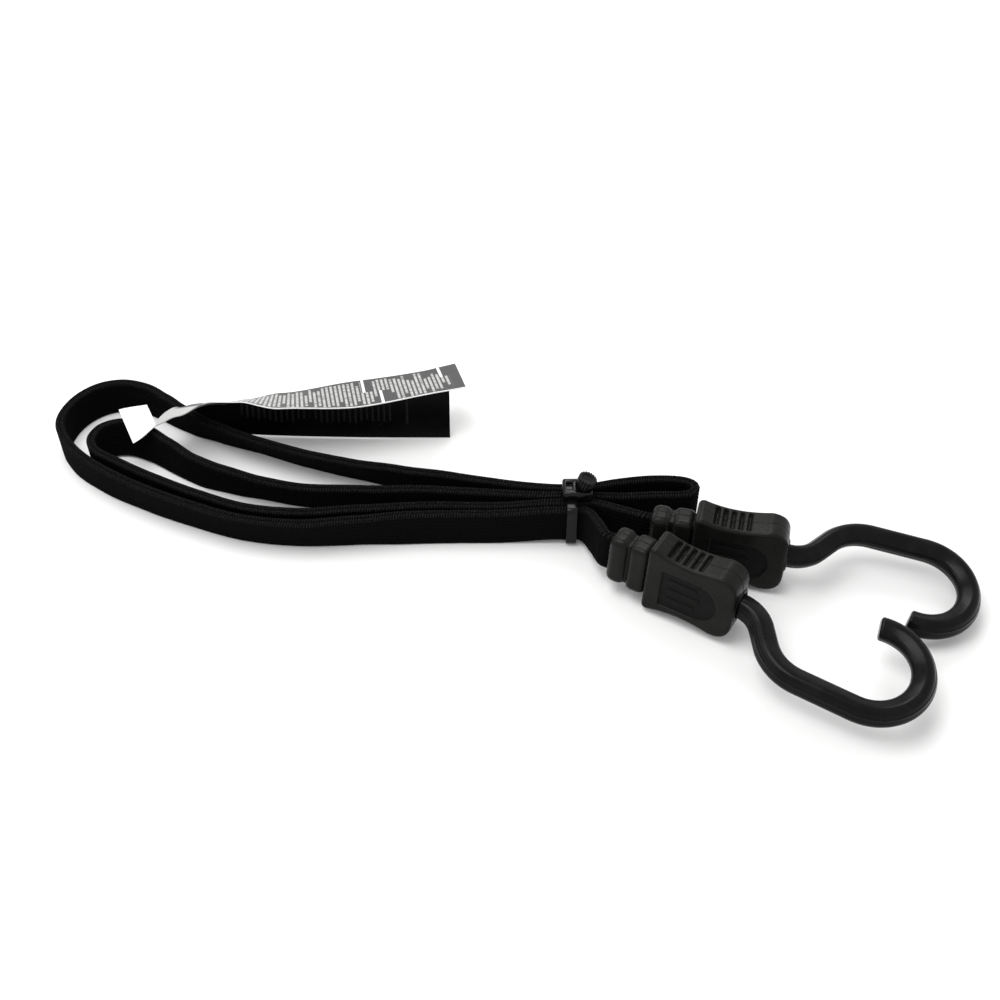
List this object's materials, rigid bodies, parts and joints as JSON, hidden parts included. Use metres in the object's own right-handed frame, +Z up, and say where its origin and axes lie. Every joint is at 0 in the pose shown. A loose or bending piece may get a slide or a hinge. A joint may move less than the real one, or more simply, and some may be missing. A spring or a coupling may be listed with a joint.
{
  "type": "bungee cord",
  "caption": "Flat elastic bungee cord folded into a tied hank, with a ridged moulded grip and a large plastic-coated swivelling hook at each end",
  "frame": {"origin": "on the floor under the middle of the bounding box", "axes": "X along the hank towards the hooks, Y away from the viewer, Z up"},
  "size_m": [0.4044, 0.1978, 0.0345],
  "materials": {
    "webbing": "ribbed woven elastic, near black",
    "grip_plastic": "moulded, satin black",
    "hook_coating": "moulded coat, satin black",
    "steel": "bare bent wire and pressed sheet",
    "tie_plastic": "smooth black",
    "tag_film": "folded printed film, black with pale bars"
  },
  "bodies": {
    "hank": {"strap_hank": "webbing", "tie_band": "tie_plastic", "tie_lock": "tie_plastic", "tag_upper_leaf": "tag_film", "tag_lower_leaf": "tag_film", "rear_strap_tail": "webbing"},
    "knob": {"tie_knob": "tie_plastic"},
    "front_lead": {"front_strap_tail": "webbing"},
    "front_grip": {"front_grip_near_shell": "grip_plastic", "front_grip_far_shell": "grip_plastic", "front_strap_clip": "steel"},
    "rear_grip": {"rear_grip_near_shell": "grip_plastic", "rear_grip_far_shell": "grip_plastic", "rear_strap_clip": "steel"},
    "front_hook": {"front_hook_core": "steel", "front_hook_coat": "hook_coating", "front_hook_washer": "steel"},
    "rear_hook": {"rear_hook_core": "steel", "rear_hook_coat": "hook_coating", "rear_hook_washer": "steel"}
  },
  "joints": [
    {"name": "front_swing", "type": "hinge", "parent": "hank", "child": "front_lead", "pos_m": [0.03482, 0.00811, 0.011], "axis": [0, 0, 1], "range_deg": [-45, 0], "stiffness_Nm_per_rad": 0.05},
    {"name": "front_stretch", "type": "slide", "parent": "front_lead", "child": "front_grip", "axis": [0.8581, -0.5135, 0], "range_m": [0, 0.03], "stiffness_N_per_m": 2000, "deforming": ["front_strap_tail"]},
    {"name": "front_hook_turn", "type": "hinge", "parent": "front_grip", "child": "front_hook", "pos_m": [0.09697, -0.04239, 0.0176], "axis": [0.8558, -0.5161, -0.0347], "continuous": true},
    {"name": "rear_stretch", "type": "slide", "parent": "hank", "child": "rear_grip", "axis": [0.9707, -0.2402, 0], "range_m": [0, 0.03], "stiffness_N_per_m": 2000, "deforming": ["rear_strap_tail"]},
    {"name": "rear_hook_turn", "type": "hinge", "parent": "rear_grip", "child": "rear_hook", "pos_m": [0.11972, -0.0151, 0.017], "axis": [0.9634, -0.2469, -0.1042], "continuous": true},
    {"name": "tie_knob_turn", "type": "hinge", "parent": "hank", "child": "knob", "pos_m": [0.03992, 0.01661, 0.0257], "axis": [0.309, 0, 0.9511], "range_deg": [0, 90]}
  ]
}
